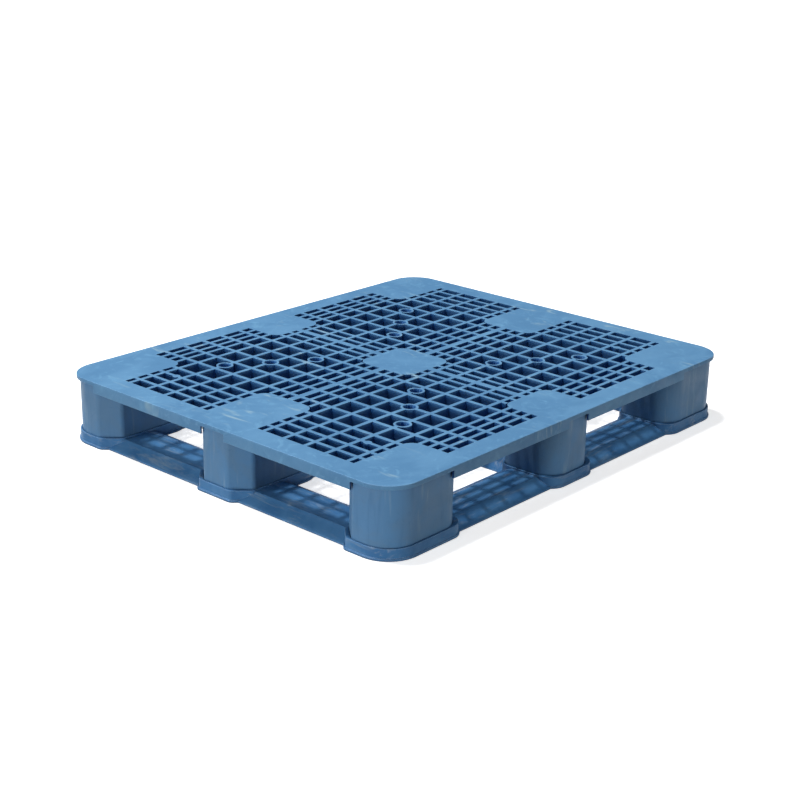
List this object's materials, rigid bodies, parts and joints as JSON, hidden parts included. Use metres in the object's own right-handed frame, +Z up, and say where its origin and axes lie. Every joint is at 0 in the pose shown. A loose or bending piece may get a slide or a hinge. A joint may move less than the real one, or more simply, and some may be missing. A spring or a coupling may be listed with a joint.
{
  "type": "plastic pallet",
  "caption": "Rackable four-way plastic pallet: gridded top deck on hollow columns that stand in the cups of a picture-frame bottom deck.",
  "frame": {"origin": "on the floor, under the middle of the pallet", "axes": "+X along the long side, +Y along the short side, +Z up"},
  "size_m": [1.2192, 1.016, 0.16],
  "materials": {
    "deck_plastic": "moulded structural foam, satin, with pale flow swirls",
    "column_plastic": "moulded structural foam, satin, with vertical flow streaks",
    "base_plastic": "moulded structural foam, satin, lightly scuffed",
    "bar_steel": "drawn and galvanised",
    "screw_steel": "zinc plated"
  },
  "bodies": {
    "root": {"top_deck": "deck_plastic", "bottom_deck": "base_plastic", "column_front_left": "column_plastic", "column_front_middle": "column_plastic", "column_front_right": "column_plastic", "column_middle_left": "column_plastic", "column_centre": "column_plastic", "column_middle_right": "column_plastic", "column_back_left": "column_plastic", "column_back_middle": "column_plastic", "column_back_right": "column_plastic", "reinforcement_bar_front": "bar_steel", "reinforcement_bar_back": "bar_steel", "reinforcement_bar_left": "bar_steel", "reinforcement_bar_right": "bar_steel", "deck_screws": "screw_steel", "base_screws": "screw_steel"}
  },
  "joints": []
}
